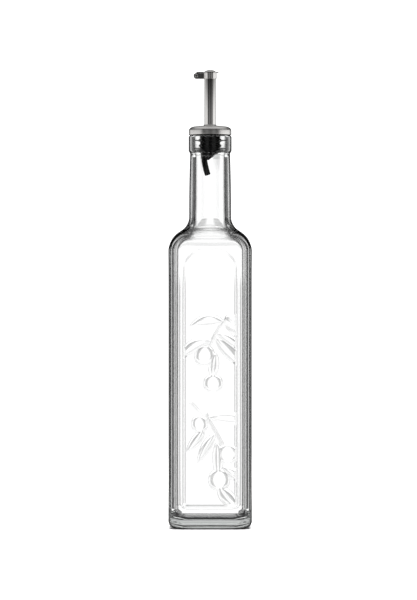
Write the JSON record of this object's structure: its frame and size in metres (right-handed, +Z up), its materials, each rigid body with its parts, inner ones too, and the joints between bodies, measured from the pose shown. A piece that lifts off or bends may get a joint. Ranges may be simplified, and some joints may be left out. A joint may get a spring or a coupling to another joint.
{
  "type": "glass oil bottle with flip-lid pourer",
  "caption": "Tall square clear-glass bottle with a round neck, closed by a finned stopper that carries a slim steel spout with a hinged flip lid.",
  "frame": {"origin": "middle of the base, on the surface that the bottle stands on", "axes": "+Z up along the neck; the embossed face looks towards -Y; the lid's hinge is on the -X side"},
  "size_m": [0.0566, 0.0566, 0.3115],
  "materials": {
    "clear_glass": "clear flint glass, polished",
    "satin_steel": "satin stainless steel",
    "black_rubber": "smooth black rubber",
    "black_plastic": "moulded black plastic"
  },
  "bodies": {
    "bottle": {"glass_bottle": "clear_glass"},
    "stopper": {"fin_stopper": "black_rubber"},
    "spout": {"pourer_core": "black_plastic", "breather_tube": "black_plastic", "cap_shell": "satin_steel", "spout_tube": "satin_steel", "hinge_collar": "satin_steel", "hinge_pin": "satin_steel"},
    "lid": {"flap_lid": "satin_steel", "lid_pad": "black_rubber"}
  },
  "joints": [
    {"name": "pourer_lift", "type": "slide", "parent": "bottle", "child": "stopper", "axis": [0, 0, 1], "range_m": [0, 0.036]},
    {"name": "spout_turn", "type": "hinge", "parent": "stopper", "child": "spout", "pos_m": [0, 0, 0.262], "axis": [0, 0, 1], "continuous": true},
    {"name": "lid_hinge", "type": "hinge", "parent": "spout", "child": "lid", "pos_m": [-0.00935, 0, 0.3073], "axis": [0, -1, 0], "range_deg": [0, 110]}
  ]
}
